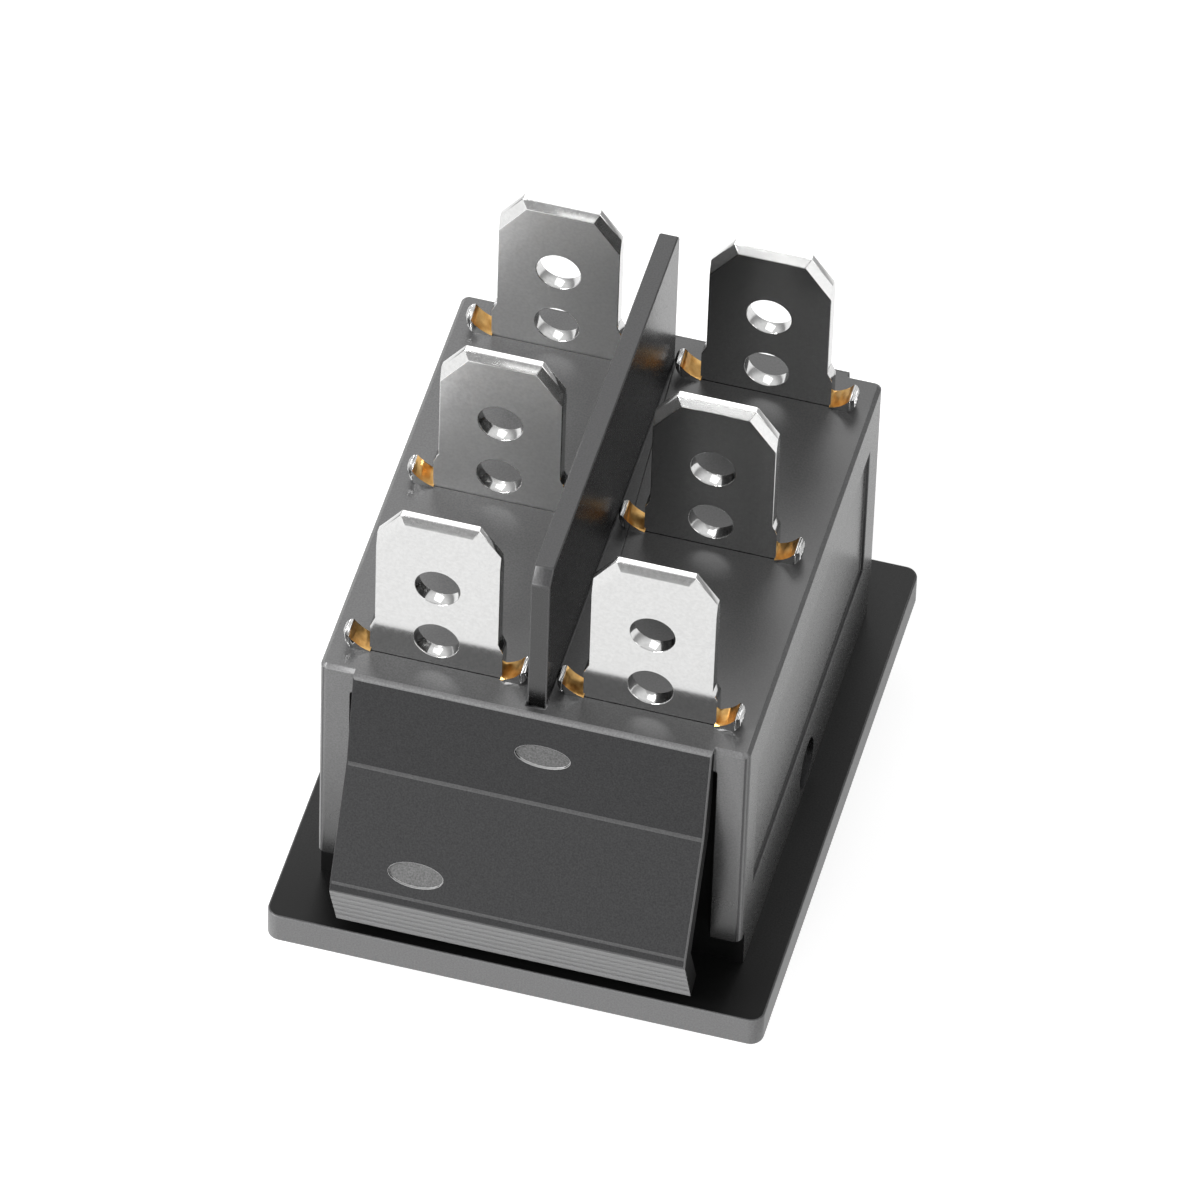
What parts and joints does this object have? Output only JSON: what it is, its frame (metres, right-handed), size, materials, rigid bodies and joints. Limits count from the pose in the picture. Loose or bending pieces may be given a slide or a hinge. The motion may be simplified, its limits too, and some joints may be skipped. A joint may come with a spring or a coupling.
{
  "type": "panel rocker switch",
  "caption": "Panel rocker switch with snap-in latches, push-on tabs, a divider between its poles and a sprung rocking contact under each pole.",
  "frame": {"origin": "centre of the body in the plane of the flange's face that seats on the panel", "axes": "+Z towards the terminals, X across the two poles, Y along the switch, with -Y at the end whose latch faces the camera"},
  "size_m": [0.0256, 0.0348, 0.0312],
  "materials": {
    "housing_plastic": "fine-grained black moulding",
    "rocker_plastic": "smooth black moulding",
    "terminal_plating": "bright tin plating over brass sheet, bare brass on the sheared ears",
    "contact_silver": "satin silver alloy",
    "bar_copper": "plain copper alloy strip",
    "spring_steel": "drawn spring wire",
    "plunger_plastic": "natural-coloured hard plastic"
  },
  "bodies": {
    "housing": {"housing": "housing_plastic", "terminal_left_common": "terminal_plating", "terminal_left_front": "terminal_plating", "fixed_contact_left_front": "contact_silver", "terminal_left_rear": "terminal_plating", "fixed_contact_left_rear": "contact_silver", "terminal_right_common": "terminal_plating", "terminal_right_front": "terminal_plating", "fixed_contact_right_front": "contact_silver", "terminal_right_rear": "terminal_plating", "fixed_contact_right_rear": "contact_silver"},
    "rocker": {"rocker": "rocker_plastic", "spring_left": "spring_steel", "spring_right": "spring_steel"},
    "contact_bar_left": {"contact_bar_left": "bar_copper", "moving_contact_left_front": "contact_silver", "moving_contact_left_rear": "contact_silver"},
    "plunger_left": {"plunger_left": "plunger_plastic"},
    "contact_bar_right": {"contact_bar_right": "bar_copper", "moving_contact_right_front": "contact_silver", "moving_contact_right_rear": "contact_silver"},
    "plunger_right": {"plunger_right": "plunger_plastic"}
  },
  "joints": [
    {"name": "rocker_hinge", "type": "hinge", "parent": "housing", "child": "rocker", "pos_m": [0, 0, 0.0016], "axis": [1, 0, 0], "range_deg": [-11, 11]},
    {"name": "contact_bar_left_hinge", "type": "hinge", "parent": "housing", "child": "contact_bar_left", "pos_m": [-0.00545, 0, 0.0117], "axis": [1, 0, 0], "range_deg": [-7, 7]},
    {"name": "plunger_left_slide", "type": "slide", "parent": "rocker", "child": "plunger_left", "axis": [0, 0, -1], "range_m": [0, 0.0009], "stiffness_N_per_m": 400, "springref_m": -0.003, "deforming": ["spring_left"]},
    {"name": "contact_bar_right_hinge", "type": "hinge", "parent": "housing", "child": "contact_bar_right", "pos_m": [0.00545, 0, 0.0117], "axis": [1, 0, 0], "range_deg": [-7, 7]},
    {"name": "plunger_right_slide", "type": "slide", "parent": "rocker", "child": "plunger_right", "axis": [0, 0, -1], "range_m": [0, 0.0009], "stiffness_N_per_m": 400, "springref_m": -0.003, "deforming": ["spring_right"]}
  ],
  "couplings": [
    {"joint": "contact_bar_left_hinge", "follows": "rocker_hinge", "ratio": -0.6363},
    {"joint": "contact_bar_right_hinge", "follows": "rocker_hinge", "ratio": -0.6363}
  ]
}
